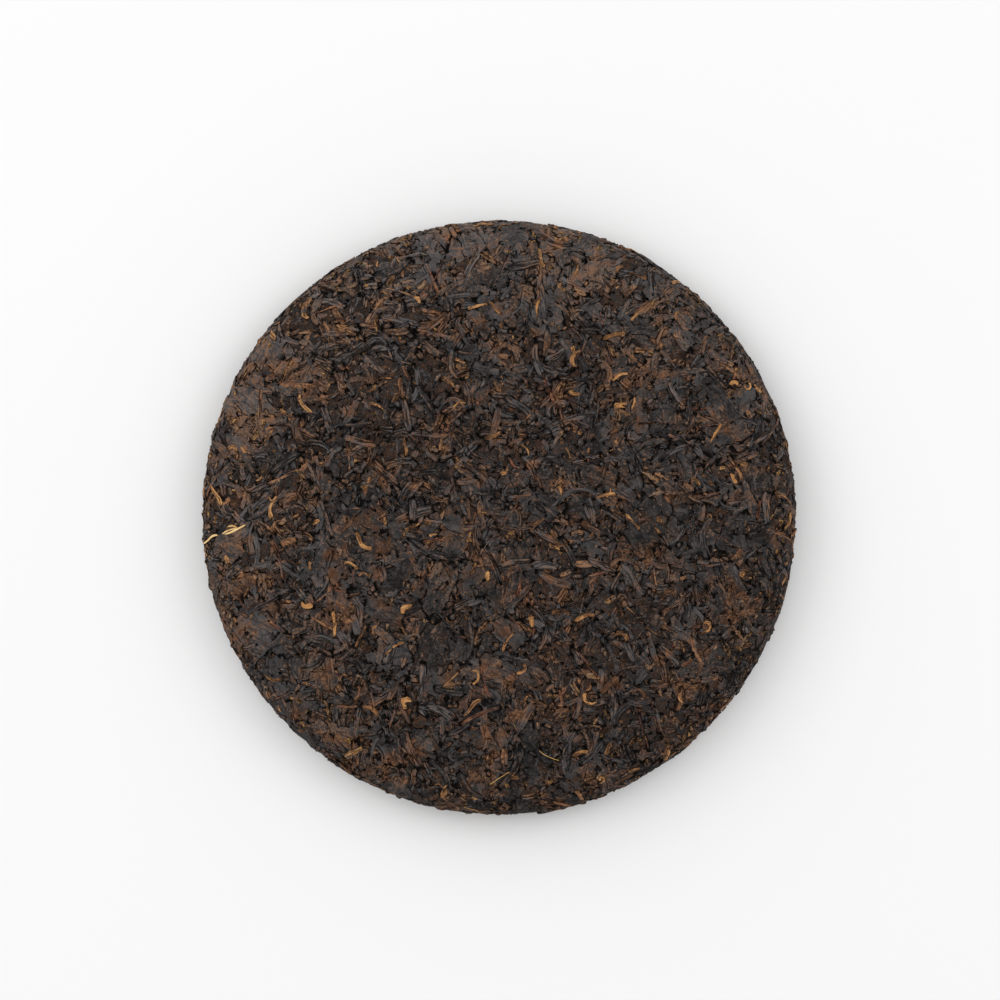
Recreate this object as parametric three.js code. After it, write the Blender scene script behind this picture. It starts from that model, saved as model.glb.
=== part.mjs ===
// A round of pressed dark tea: steamed leaves pressed in a cloth bag into a flat, slightly domed
// disc. It lies on its back. The top is a low dome that turns down over a rounded shoulder into a
// thin side, and the back is a flat ring round a gently hollow middle, where the knot of the bag
// leaves a round dimple. Millimetres, +Z up, origin in the middle of the face that it rests on.
import * as THREE from 'three';

// Driving dimensions
const RIM_RADIUS = 100;          // axis to the widest point of the side
const CROWN_HEIGHT = 24;         // middle of the dome
const SHOULDER_RADIUS = 91;      // where the dome starts to turn down
const SHOULDER_HEIGHT = 18.5;
const WIDEST_HEIGHT = 6.5;       // the side is widest low down
const FOOT_RADIUS = 95;          // outer edge of the flat ring that it rests on
const FOOT_INNER_RADIUS = 64;
const HOLLOW_RISE = 1.8;         // how far the back rises from that ring to the dimple's lip
const DIMPLE_RADIUS = 31;        // at its lip
const DIMPLE_DEPTH = 12;         // below the lip

const DOME_FULLNESS = 2.3;       // power of the dome's curve: 2 is a parabola, more is flatter
const LIP_ROUNDING = 1.8;        // power that rounds the dimple's lip and its middle

// Pressed leaf is never quite true: the outline has shallow lobes and the dome low clumps
const OUTLINE_LOBES = [2, 3, 5, 8, 13];
const OUTLINE_DEPTH = 0.55;      // millimetres, of a single lobe; more lobes are shallower
const CLUMP_WAVES = 7;
const CLUMP_LENGTH_MIN = 19;
const CLUMP_LENGTH_MAX = 54;
const CLUMP_HEIGHT = 0.16;       // of each wave
const TURN = Math.PI * (3 - Math.sqrt(5));   // the golden angle, which spreads the waves evenly
const FLAT_UNDER = 0.05;         // points lower than this belong to the flat ring

const SEGMENTS = 112;            // round the axis
const DOME_RINGS = 15;
const SIDE_RINGS = 8;
const UNDERCUT_RINGS = 4;
const BACK_RINGS = 4;
const DIMPLE_RINGS = 8;

// Points of a curve given by a function of 0 to 1, without its first one
function sampled(curve, rings) {
  return Array.from({ length: rings }, (_, i) => curve((i + 1) / rings));
}

function backPoint(t) {
  const radius = THREE.MathUtils.lerp(DIMPLE_RADIUS, FOOT_INNER_RADIUS, t);
  const height = HOLLOW_RISE * (1 - THREE.MathUtils.smoothstep(t, 0, 1));
  return new THREE.Vector2(radius, height);
}

function dimplePoint(t) {
  const depth = (1 - t ** LIP_ROUNDING) ** LIP_ROUNDING;
  return new THREE.Vector2(DIMPLE_RADIUS * t, HOLLOW_RISE + DIMPLE_DEPTH * depth);
}

function domePoint(t) {
  const fall = (CROWN_HEIGHT - SHOULDER_HEIGHT) * t ** DOME_FULLNESS;
  return new THREE.Vector2(SHOULDER_RADIUS * t, CROWN_HEIGHT - fall);
}

// From the flat ring's edge out to the widest point
function undercut() {
  return new THREE.QuadraticBezierCurve(
    new THREE.Vector2(FOOT_RADIUS, 0),
    new THREE.Vector2(RIM_RADIUS, WIDEST_HEIGHT * 0.2),
    new THREE.Vector2(RIM_RADIUS, WIDEST_HEIGHT),
  );
}

// From the widest point up and in over the shoulder, meeting the dome at the dome's own slope
function side() {
  const slope = (CROWN_HEIGHT - SHOULDER_HEIGHT) * DOME_FULLNESS / SHOULDER_RADIUS;
  const reach = (RIM_RADIUS - SHOULDER_RADIUS) * 0.62;
  return new THREE.CubicBezierCurve(
    new THREE.Vector2(RIM_RADIUS, WIDEST_HEIGHT),
    new THREE.Vector2(RIM_RADIUS, THREE.MathUtils.lerp(WIDEST_HEIGHT, SHOULDER_HEIGHT, 0.55)),
    new THREE.Vector2(SHOULDER_RADIUS + reach, SHOULDER_HEIGHT - reach * slope),
    new THREE.Vector2(SHOULDER_RADIUS, SHOULDER_HEIGHT),
  );
}

// The half section, from the middle of the back round to the middle of the dome
function halfSection() {
  const foot = [new THREE.Vector2(FOOT_RADIUS, 0)];
  const rim = side();
  const under = undercut();
  return [
    dimplePoint(0),
    ...sampled(dimplePoint, DIMPLE_RINGS),
    ...sampled(backPoint, BACK_RINGS),
    ...foot,
    ...sampled((t) => under.getPoint(t), UNDERCUT_RINGS),
    ...sampled((t) => rim.getPoint(t), SIDE_RINGS),
    ...sampled((t) => domePoint(1 - t), DOME_RINGS),
  ];
}

function outlineScale(angle) {
  let bulge = 0;
  OUTLINE_LOBES.forEach((lobes, i) => {
    bulge += OUTLINE_DEPTH / lobes * Math.cos(lobes * angle + (i + 1) * TURN);
  });
  return 1 + bulge / RIM_RADIUS;
}

function clumps(x, y) {
  let height = 0;
  for (let i = 0; i < CLUMP_WAVES; i += 1) {
    const length = THREE.MathUtils.lerp(CLUMP_LENGTH_MIN, CLUMP_LENGTH_MAX, i / (CLUMP_WAVES - 1));
    const along = x * Math.cos(i * TURN) + y * Math.sin(i * TURN);
    height += CLUMP_HEIGHT * Math.sin(2 * Math.PI * along / length + i);
  }
  return height;
}

// Moves each point of the true round to where the pressed leaf lies
function pressUnevenly(geometry) {
  const place = geometry.getAttribute('position');
  const point = new THREE.Vector3();
  for (let i = 0; i < place.count; i += 1) {
    point.fromBufferAttribute(place, i);
    const angle = Math.atan2(point.y, point.x);
    const radius = Math.hypot(point.x, point.y);
    const rimShare = THREE.MathUtils.smoothstep(radius, SHOULDER_RADIUS * 0.6, RIM_RADIUS);
    const scale = 1 + (outlineScale(angle) - 1) * rimShare;
    const lift = THREE.MathUtils.smoothstep(point.z, FLAT_UNDER, WIDEST_HEIGHT);
    const rise = clumps(point.x, point.y) * lift;
    place.setXYZ(i, point.x * scale, point.y * scale, point.z + rise);
  }
}

// Puts the origin in the middle of the face that the cake rests on
function standOnOrigin(geometry) {
  geometry.computeBoundingBox();
  const middle = geometry.boundingBox.getCenter(new THREE.Vector3());
  geometry.translate(-middle.x, -middle.y, -geometry.boundingBox.min.z);
}

function cakeGeometry() {
  const geometry = new THREE.LatheGeometry(halfSection(), SEGMENTS);
  geometry.rotateX(Math.PI / 2);
  pressUnevenly(geometry);
  standOnOrigin(geometry);
  geometry.computeVertexNormals();
  return geometry;
}

const pressedLeaf = new THREE.MeshStandardMaterial({
  name: 'pressed_leaf',
  color: 0x3c312b,
  roughness: 0.7,
  metalness: 0,
});

const teaCake = new THREE.Mesh(cakeGeometry(), pressedLeaf);
teaCake.name = 'tea_cake';

const part = new THREE.Group();
part.add(teaCake);

export default part;
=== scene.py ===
"""Dresses a round cake of pressed dark tea: leaf laid over a core and pressed flat, on a pale stage.

The skin of the cake is rolled out flat on two round sheets, one for the dome and side and one for the
back. Leaf of each kind is scattered over a sheet in one common order, each piece settles on what lies
under it, the whole heap is pressed to an even level, and then the sheets are wrapped on the cake.
"""

import itertools
import math

import bpy
import numpy as np
from bpy.props import FloatProperty, FloatVectorProperty, IntProperty, PointerProperty
from mathutils import Matrix, Vector


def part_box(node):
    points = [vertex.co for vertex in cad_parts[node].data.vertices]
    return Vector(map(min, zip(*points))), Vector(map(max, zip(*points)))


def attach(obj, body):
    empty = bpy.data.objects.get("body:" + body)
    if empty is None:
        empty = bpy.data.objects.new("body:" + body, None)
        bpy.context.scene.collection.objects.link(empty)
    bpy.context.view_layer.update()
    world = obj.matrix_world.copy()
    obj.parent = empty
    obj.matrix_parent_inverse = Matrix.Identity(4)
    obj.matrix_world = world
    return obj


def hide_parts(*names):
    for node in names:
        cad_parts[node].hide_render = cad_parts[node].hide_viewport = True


bl_info = {
    "name": "Pressed tea cake",
    "version": (1, 0, 0),
    "blender": (4, 5, 0),
    "location": "3D View > Sidebar > Tea cake",
    "description": "Lays tea leaf over a round core, presses it flat and sets it on a pale stage",
    "category": "Add Mesh",
}

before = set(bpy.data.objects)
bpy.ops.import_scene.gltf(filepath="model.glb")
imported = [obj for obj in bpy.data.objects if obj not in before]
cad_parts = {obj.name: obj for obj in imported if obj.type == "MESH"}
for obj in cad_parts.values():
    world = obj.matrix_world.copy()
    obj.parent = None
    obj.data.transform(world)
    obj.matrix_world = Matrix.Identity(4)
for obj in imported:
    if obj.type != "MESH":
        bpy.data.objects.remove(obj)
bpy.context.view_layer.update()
CAKE = "tea_cake"
BODY = "root"

MM = 0.001                            # metres in a millimetre
TURN = math.pi * (3 - math.sqrt(5))   # golden angle

# The cake's side and its unevenness
SHOULDER_PULL = 0.62                  # share of the way out to the rim that the dome's slope runs on
RIM_PULL = 0.55                       # share of the height over the rim that is nearly upright
UNDERCUT_PULL = 0.2                   # share of the height under it that turns in to the foot
LOBES = (2, 3, 5, 8, 13)              # swells round the outline, one set on another
WAVES = np.linspace(19, 54, 7)        # lengths of the waves over the dome, millimetres

# The heap of leaf. Lengths are in millimetres
CELL = 0.3                            # of a sheet's height map
MARGIN = 16.0                         # sheet beyond the last leaf's middle
EVEN_WIDTH = 4.0                      # width over which the heap's even level is found
SWELL_WIDTH = 1.5                     # width of the swells that pressing squeezes
HOLLOW_WIDTH = 0.7                    # width of the hollows that are painted dark with shade
SWELL_KEPT = 0.2                      # how far swells stand out after pressing
RIDGES_KEPT = 0.5                     # share of the relief that pressing leaves over the swells
HOLLOWS_KEPT = 0.9                    # share that it leaves below them
DUST_DEPTH = 0.42                     # from the heap's even level to the dust in its gaps
LEAF_DEPTH = 0.15                     # from where a leaf settles down to its lower side
END_TUCK = 0.4                        # share of a station by which that side is shorter at each end
BURIED = 0.12                         # a leaf that is all deeper than this is left out
SQUEEZED = 0.6                        # height up to which leaf gives way to the floor
LAST = 2.0                            # turn of a leaf that is laid after all others
RIM_LIGHT = 1.0                        # painted light: how much paler the rim is on its lit side, and darker opposite, up to 1
LIT_SIDE = math.radians(118)       # where on the rim the painted light is strongest, roughly towards the key light, from +X towards +Y
CORE_CELLS = 180                      # squares across the core

# Noise
LATTICE = 64                          # points along a side of its repeating block
GROUND, DUST, GRIT, GATHERED, CRUMPLE, CREASES, DUST_TONE = 11, 13, 14, 15, 21, 22, 31  # seeds


def linear(hex_colour):
    """The linear colour that an sRGB hex value stands for."""
    parts = [int(hex_colour[i:i + 2], 16) / 255 for i in (1, 3, 5)]
    return tuple(p / 12.92 if p <= 0.04045 else ((p + 0.055) / 1.055) ** 2.4 for p in parts)


def size(name, description, millimetres):
    """A length that the user may change."""
    return FloatProperty(name=name, description=description, default=millimetres * MM, min=0,
                         precision=5, unit="LENGTH")


def colour(name, description, hex_colour):
    """A colour that the user may change."""
    return FloatVectorProperty(name=name, description=description, size=4, subtype="COLOR",
                               default=(*linear(hex_colour), 1), min=0, max=1)


def tilt(name, description, degrees):
    """An angle that the user may change."""
    return FloatProperty(name=name, description=description, default=math.radians(degrees),
                         subtype="ANGLE")


def amount(name, description, value, **more):
    """A number that the user may change, with its unit or subtype where one fits."""
    return FloatProperty(name=name, description=description, default=value, min=0, **more)


def count(name, description, number):
    """A whole number that the user may change."""
    return IntProperty(name=name, description=description, default=number, min=0)


class TeaCakeShape(bpy.types.PropertyGroup):
    """The true round that the leaf is pressed into."""
    rim_radius: size("Rim radius", "Axis to the widest point of the side", 100)
    crown_height: size("Crown height", "Middle of the dome", 24)
    shoulder_radius: size("Shoulder radius", "Where the dome starts to turn down", 91)
    shoulder_height: size("Shoulder height", "Where the dome starts to turn down", 18.5)
    widest_height: size("Widest height", "Where the side is widest", 6.5)
    foot_radius: size("Foot radius", "Outer edge of the flat ring under the cake", 95)
    foot_inner_radius: size("Foot inner radius", "Inner edge of that ring", 64)
    hollow_rise: size("Hollow rise", "From the ring to the dimple's lip", 1.8)
    dimple_radius: size("Dimple radius", "At its lip", 31)
    dimple_depth: size("Dimple depth", "Below its lip", 12)
    dome_fullness: amount("Dome fullness", "Power of the dome's curve", 2.3)
    lip_rounding: amount("Lip rounding", "Power that rounds the dimple", 1.8)
    outline_depth: size("Outline depth", "How far one lobe of the outline swells", 0.55)
    clump_height: size("Clump height", "Of each wave that makes the dome uneven", 0.16)
    core_depth: size("Core depth", "From the pressed surface down to the core", 0.5)


class TeaLeafCounts(bpy.types.PropertyGroup):
    """How many pieces of each kind are laid on the dome and side, and their share on the back."""
    blades: count("Blades", "Broad flat leaf on the dome and side", 800)
    strips: count("Strips", "Rolled dark strips", 1550)
    long_strips: count("Long strips", "The longest rolled dark strips", 260)
    bits: count("Bits", "Short broken strips", 1100)
    gap_bits: count("Gap bits", "Short broken strips in the gaps", 1000)
    brown_strips: count("Brown strips", "Rolled strips of browner leaf", 620)
    brown_bits: count("Brown bits", "Short broken strips of browner leaf", 600)
    brown_gap_bits: count("Brown gap bits", "Short strips of browner leaf in the gaps", 300)
    stalks: count("Stalks", "Straight leaf stalks", 150)
    buds: count("Buds", "Golden leaf buds", 190)
    crumbs: count("Crumbs", "Broken crumbs", 600)
    shards: count("Shards", "The smallest broken crumbs", 800)
    side_crumbs: count("Side crumbs", "Crumbs that stand out from the side", 400)
    tan_crumbs: count("Tan crumbs", "Paler crumbs", 450)
    rim_crumbs: count("Rim crumbs", "Paler crumbs on the rim", 220)
    fibres: count("Fibres", "Thin pale plant fibres", 3)
    back_share: amount("Back share", "The back's counts as a share of those above", 0.42,
                       subtype="FACTOR", max=1)


class TeaLeafColours(bpy.types.PropertyGroup):
    """Darkest and palest colour of each kind of leaf, and those of its flecks and of the painted shade
    in its cracks.
    """
    crack: colour("Crack", "Shade in cracks and creases", "#070504")
    slate_dark: colour("Slate, dark", "Black leaf in its darkest places", "#131110")
    slate_light: colour("Slate, light", "Black leaf where it is greyest", "#636060")
    leaf_worn: colour("Leaf, worn", "Flecks on black leaf", "#8f684b")
    brown_dark: colour("Brown, dark", "Brown leaf in its darkest places", "#24170f")
    brown_light: colour("Brown, light", "Brown leaf where it is palest", "#805a43")
    brown_worn: colour("Brown, worn", "Flecks on browner leaf", "#b1865c")
    stalk_dark: colour("Stalk, dark", "Leaf stalk", "#33211c")
    stalk_light: colour("Stalk, light", "Leaf stalk where it is paler", "#7a4e3c")
    bud_dark: colour("Bud, dark", "Ochre bud", "#5a3c26")
    bud_light: colour("Bud, light", "Paler bud", "#b4804f")
    bud_worn: colour("Bud, worn", "Palest down of a bud", "#d2a36c")
    tan_dark: colour("Tan, dark", "Brown crumb", "#3f2d1f")
    tan_light: colour("Tan, light", "Palest crumb", "#8d6b43")
    straw_dark: colour("Straw, dark", "Plant fibre in shade", "#b98d4c")
    straw_light: colour("Straw, light", "Plant fibre", "#efcf98")


class TeaStage(bpy.types.PropertyGroup):
    """Camera, floor and light."""
    distance: size("Camera distance", "Camera to the cake", 1200)
    lens: amount("Lens", "Focal length", 130.2, unit="CAMERA")
    towards_front: tilt("Lean to the front", "Camera off the cake's axis", 5.5)
    towards_right: tilt("Lean to the right", "Camera off the cake's axis", 2.5)
    aim_x: size("Aim across", "Right of the cake's middle", 1.35)
    aim_y: size("Aim up", "Above the cake's middle", 3.6)
    floor: colour("Floor", "Pale paper floor", "#f4f4f4")
    sky: amount("Sky", "Strength of the light from all round", 0.82)
    side_light: amount("Side light", "Softbox on each side", 5.5, unit="POWER")
    key: amount("Key light", "Softbox at the back left", 2.8, unit="POWER")


class TeaCakeSettings(bpy.types.PropertyGroup):
    """All that a user of the tea cake may change."""
    shape: PointerProperty(type=TeaCakeShape)
    counts: PointerProperty(type=TeaLeafCounts)
    colours: PointerProperty(type=TeaLeafColours)
    stage: PointerProperty(type=TeaStage)


# Surface of the cake


def smoothstep(x, low, high):
    """Rises smoothly from 0 to 1 as x goes from low to high."""
    t = np.clip((x - low) / (high - low), 0, 1)
    return t * t * (3 - 2 * t)


def bezier(t, *points):
    """Points of the Bezier curve with these control points."""
    order = len(points) - 1
    weights = [math.comb(order, i) * t ** i * (1 - t) ** (order - i) for i in range(order + 1)]
    return sum(w[:, None] * np.array(p, float) for w, p in zip(weights, points))


def lumps(x, y, z, seed):
    """Smooth noise from -1 to 1 whose lumps are about one unit across."""
    table = np.random.default_rng(seed).uniform(-1, 1, (LATTICE,) * 3)
    places = [np.asarray(v, float) for v in np.broadcast_arrays(x, y, z)]
    cells = [np.floor(v).astype(int) for v in places]
    eases = [smoothstep(v - c, 0, 1) for v, c in zip(places, cells)]
    total = 0
    for corner in itertools.product((0, 1), repeat=3):
        weight = 1
        for ease, far in zip(eases, corner):
            weight = weight * (ease if far else 1 - ease)
        total = total + weight * table[tuple((c + far) % LATTICE for c, far in zip(cells, corner))]
    return total


class Surface:
    """The cake's outer surface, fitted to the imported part. Its half section is followed by arc
    length from the middle of the dome, round the side, to the middle of the back. Millimetres."""

    def __init__(self, shape):
        self.mm = {name: getattr(shape, name) / MM for name, known in shape.bl_rna.properties.items()
                   if getattr(known, "unit", "NONE") == "LENGTH"}
        steps, places, window = 399, 1200, 15
        stretches = self.section(np.linspace(0, 1, steps + 1), shape)
        line = np.concatenate([stretches[0]] + [stretch[1:] for stretch in stretches[1:]])
        arc = np.concatenate([[0], np.cumsum(np.hypot(*np.diff(line, axis=0).T))])
        self.length, self.shoulder, self.foot = arc[-1], arc[steps], arc[3 * steps]
        self.arc = np.linspace(0, self.length, places)
        self.radius, self.height = (np.interp(self.arc, arc, column) for column in line.T)
        along = np.stack([np.gradient(self.radius), np.gradient(self.height)])
        along = np.stack([np.convolve(np.pad(part, window // 2, mode="edge"),
                                      np.ones(window) / window, mode="valid") for part in along])
        along /= np.hypot(*along)
        self.out_radius, self.out_height = -along[1], along[0]
        self.fit()

    def section(self, t, shape):
        """Radius and height along each stretch of the half section, at shares t of the stretch."""
        mm = self.mm
        centre = 0, mm["crown_height"]
        shoulder = mm["shoulder_radius"], mm["shoulder_height"]
        rim = mm["rim_radius"], mm["widest_height"]
        foot, inner_foot = (mm["foot_radius"], 0), (mm["foot_inner_radius"], 0)
        fall = centre[1] - shoulder[1]
        slope = fall * shape.dome_fullness / shoulder[0]
        ledge = SHOULDER_PULL * (rim[0] - shoulder[0])
        upright = rim[1] + RIM_PULL * (shoulder[1] - rim[1])
        bowl = (1 - (1 - t) ** shape.lip_rounding) ** shape.lip_rounding
        return [
            np.stack([shoulder[0] * t, centre[1] - fall * t ** shape.dome_fullness], 1),
            bezier(t, shoulder, (shoulder[0] + ledge, shoulder[1] - ledge * slope),
                   (rim[0], upright), rim),
            bezier(t, rim, (rim[0], rim[1] * UNDERCUT_PULL), foot),
            bezier(t, foot, inner_foot),
            np.stack([inner_foot[0] + (mm["dimple_radius"] - inner_foot[0]) * t,
                      mm["hollow_rise"] * smoothstep(t, 0, 1)], 1),
            np.stack([mm["dimple_radius"] * (1 - t), mm["hollow_rise"] + mm["dimple_depth"] * bowl], 1)]

    def fit(self):
        """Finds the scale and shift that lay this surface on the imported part's box."""
        self.scale, self.shift = np.ones(3), np.zeros(3)
        low, high = (np.array(corner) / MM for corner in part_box(CAKE))
        reach, angle = np.meshgrid(self.arc, np.linspace(0, 2 * math.pi, 361))
        points = self.wrap(reach * np.cos(angle), reach * np.sin(angle), 0, False)
        own_low, own_high = points.min((0, 1)), points.max((0, 1))
        self.scale = (high - low) / (own_high - own_low)
        self.shift = low - own_low * self.scale

    def arc_at(self, radius):
        """How far along the section from the middle of the dome a radius is reached."""
        on_top = self.arc < self.foot
        rising = self.radius[on_top] >= np.maximum.accumulate(self.radius[on_top])
        return np.interp(radius, self.radius[on_top][rising], self.arc[on_top][rising])

    def wrap(self, x, y, height, back):
        """Where points of a rolled-out sheet lie. The back's sheet is seen from below."""
        reach, angle = np.hypot(x, y), np.arctan2(-y if back else y, x)
        arc = self.length - reach if back else reach
        radius = (np.interp(arc, self.arc, self.radius)
                  + height * np.interp(arc, self.arc, self.out_radius))
        z = (np.interp(arc, self.arc, self.height)
             + height * np.interp(arc, self.arc, self.out_height))
        true_z = np.interp(arc, self.arc, self.height)
        px, py = radius * np.cos(angle), radius * np.sin(angle)
        swell = sum(self.mm["outline_depth"] / n * np.cos(n * angle + (i + 1) * TURN)
                    for i, n in enumerate(LOBES))
        near_rim = smoothstep(radius, self.mm["shoulder_radius"] * 0.6, self.mm["rim_radius"])
        grow = 1 + swell / self.mm["rim_radius"] * near_rim
        rise = 0
        for i, length in enumerate(WAVES):
            across = px * math.cos(i * TURN) + py * math.sin(i * TURN)
            rise = rise + self.mm["clump_height"] * np.sin(2 * math.pi * across / length + i)
        z = z + rise * smoothstep(true_z, 0.05, self.mm["widest_height"])
        return np.stack(np.broadcast_arrays(px * grow, py * grow, z), -1) * self.scale + self.shift


# Leaf, laid on a sheet


class Sheet:
    """One side of the cake's skin rolled out flat, with the height of what lies on it."""

    def __init__(self, surface, back, reach, seed):
        self.surface, self.back, self.reach = surface, back, reach
        self.rng = np.random.default_rng(seed)
        self.cells = int(2 * (reach + MARGIN) / CELL)
        self.edge = self.cells * CELL / 2
        x, y = np.meshgrid(*[np.arange(self.cells) * CELL - self.edge] * 2, indexing="ij")
        self.x, self.y = x, y
        self.inside = (np.hypot(x, y) < reach).astype(float)
        self.ground = 0.3 * self.lumps(x, y, 3.1, GROUND)
        self.height = self.ground.copy()

    def lumps(self, x, y, width, seed):
        """Smooth noise over this sheet, which differs from the other side's."""
        return lumps(x / width, y / width, 7.5 * self.back, seed)

    def cell(self, plan):
        """The rows and columns of the height map that points fall in."""
        index = ((plan + self.edge) / CELL).astype(np.int32)
        return np.clip(index, 0, self.cells - 1)

    def under(self, field, x, y):
        """The values that a map of this sheet has at points."""
        rows, cols = np.moveaxis(self.cell(np.stack(np.broadcast_arrays(x, y), -1)), -1, 0)
        return field[rows, cols]

    def blurred(self, field, width):
        """A map blurred over a width, in millimetres, with what is off the sheet left out."""
        frequency = [np.fft.fftfreq(self.cells, CELL)[:, None], np.fft.rfftfreq(self.cells, CELL)]
        blur = np.exp(-2 * (math.pi * width) ** 2 * (frequency[0] ** 2 + frequency[1] ** 2))
        total, cover = (np.fft.irfft2(np.fft.rfft2(part) * blur, s=part.shape)
                        for part in (field * self.inside, self.inside))
        return total / np.maximum(cover, 0.02)

    def level(self):
        """The heap's even level."""
        return self.blurred(self.height, EVEN_WIDTH)

    def lay(self, batches):
        """Lays the leaves of all batches in one order, each on what lies there already."""
        order = sorted((when, b, i) for b, batch in enumerate(batches)
                       for i, when in enumerate(batch.when))
        for batch in batches:
            batch.find_cells(self)
        for _, b, i in order:
            batches[b].settle(i, self.height)

    def fill(self):
        """Fills the gaps of the heap with dust, which lies in small lumps."""
        dust = (self.level() - DUST_DEPTH + 0.2 * self.lumps(self.x, self.y, 2.6, DUST)
                + 0.12 * self.lumps(self.x, self.y, 1.2, GRIT))
        self.ground = np.maximum(self.ground, dust)
        self.height = np.maximum(self.height, self.ground)

    def press(self):
        """Presses the heap: its swells are squeezed towards the even level, ridges are pressed down
        and cracks stay. The whole is set so that its mean height is the cake's surface."""
        self.low, self.swell, self.sink = self.level(), self.blurred(self.height, SWELL_WIDTH), 0.0
        top = self.pressed(self.x, self.y, self.height)
        self.sink = (top * self.inside).sum() / self.inside.sum()
        self.hollow = self.blurred(top, HOLLOW_WIDTH) - top

    def pressed(self, x, y, height):
        """Heights after pressing, from the cake's surface. The side is pressed less. Between hollows
        and ridges the share of them that is kept changes smoothly."""
        on_side = 0 if self.back else smoothstep(np.hypot(x, y), self.surface.shoulder,
                                                 self.surface.shoulder + 8)
        swell = self.under(self.swell, x, y)
        limit = SWELL_KEPT * (1 + 0.5 * on_side)
        relief = height - swell
        ridges = RIDGES_KEPT + (HOLLOWS_KEPT - RIDGES_KEPT) * on_side
        relief = ((ridges + HOLLOWS_KEPT) * relief
                  + (ridges - HOLLOWS_KEPT) * np.sqrt(relief ** 2 + 0.01)) / 2
        return limit * np.tanh((swell - self.under(self.low, x, y)) / limit) + relief - self.sink


def even_spread(sheet, number, region=None, strictness=1.0, spare=2):
    """Points spread evenly over the round sheet, each shaken a little off its place. Where a region
    is given, so many times more are drawn and those where it is highest are kept."""
    rng = sheet.rng
    drawn = number if region is None else spare * number
    index = rng.permutation(drawn) + 0.5
    distance, angle = sheet.reach * np.sqrt(index / drawn), index * TURN
    shake = 0.8 * sheet.reach * math.sqrt(math.pi / drawn)
    place = np.stack([distance * np.cos(angle), distance * np.sin(angle)], -1)
    place += rng.uniform(-shake, shake, place.shape)
    if region is None:
        return place
    rank = strictness * region(*place.T) + rng.uniform(-0.5, 0.5, drawn)
    return place[np.argsort(-rank)[:number]]


def blade_region(sheet):
    """Where broad leaf gathers: in patches, and towards the side."""
    return lambda x, y: (sheet.lumps(x, y, 24, GATHERED)
                         + 0.5 * smoothstep(np.hypot(x, y), 55, 95))


def side_band(sheet):
    """Where the cake's side is."""
    shoulder, foot = sheet.surface.shoulder, sheet.surface.foot
    return lambda x, y: (smoothstep(np.hypot(x, y), shoulder, shoulder + 4)
                         - smoothstep(np.hypot(x, y), foot - 6, foot))


def rim_band(sheet):
    """Where the rim turns down to the side, most of all on its lit side, so that the paler crumbs
    there add to the painted light.
    """
    shoulder = sheet.surface.shoulder
    return lambda x, y: (np.exp(-((np.hypot(x, y) - shoulder - 3) / 5) ** 2)
                         * (1 + 0.3 * np.cos(np.arctan2(y, x) - LIT_SIDE)))


def gaps(sheet):
    """Where the heap laid so far has gaps."""
    depth = sheet.level() - sheet.height
    return lambda x, y: sheet.under(depth, x, y)


def smoothing(n, spread):
    """A matrix that blurs n values along a line."""
    apart = np.arange(n)[:, None] - np.arange(n)
    weight = np.exp(-(apart / spread) ** 2 / 2)
    return weight / weight.sum(1, keepdims=True)


def finer(n, fine):
    """A matrix that draws n values out to `fine` values along a line."""
    at = np.linspace(0, n - 1, fine)
    return np.maximum(1 - abs(at[:, None] - np.arange(n)), 0)


def crack_shade(sheet, x, y, height):
    """How dark cracks make points, up to 1: in hollows of the pressed surface and deep under it."""
    hollow = 0.65 * smoothstep(sheet.under(sheet.hollow, x, y), 0.12, 0.45)
    return np.maximum(hollow, 0.45 * smoothstep(-height, 0.5, 1.5))


def light_and_wear(sheet, x, y):
    """How much paler the surface is painted: on its ridges by a painted highlight and sheen, and by
    wear, and at the rim by painted light, paler on the side towards the key light and darker on the
    far side.
    """
    ridges = smoothstep(-sheet.under(sheet.hollow, x, y), 0.03, 0.2)
    # Painted light on the rim: paler towards the key light, darker on the far side
    facing = 1.3 * np.cos((np.arctan2(y, x) - LIT_SIDE) / 2) ** 2 - 0.4
    return ridges + RIM_LIGHT * facing * smoothstep(np.hypot(x, y), 50, 98)


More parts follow.
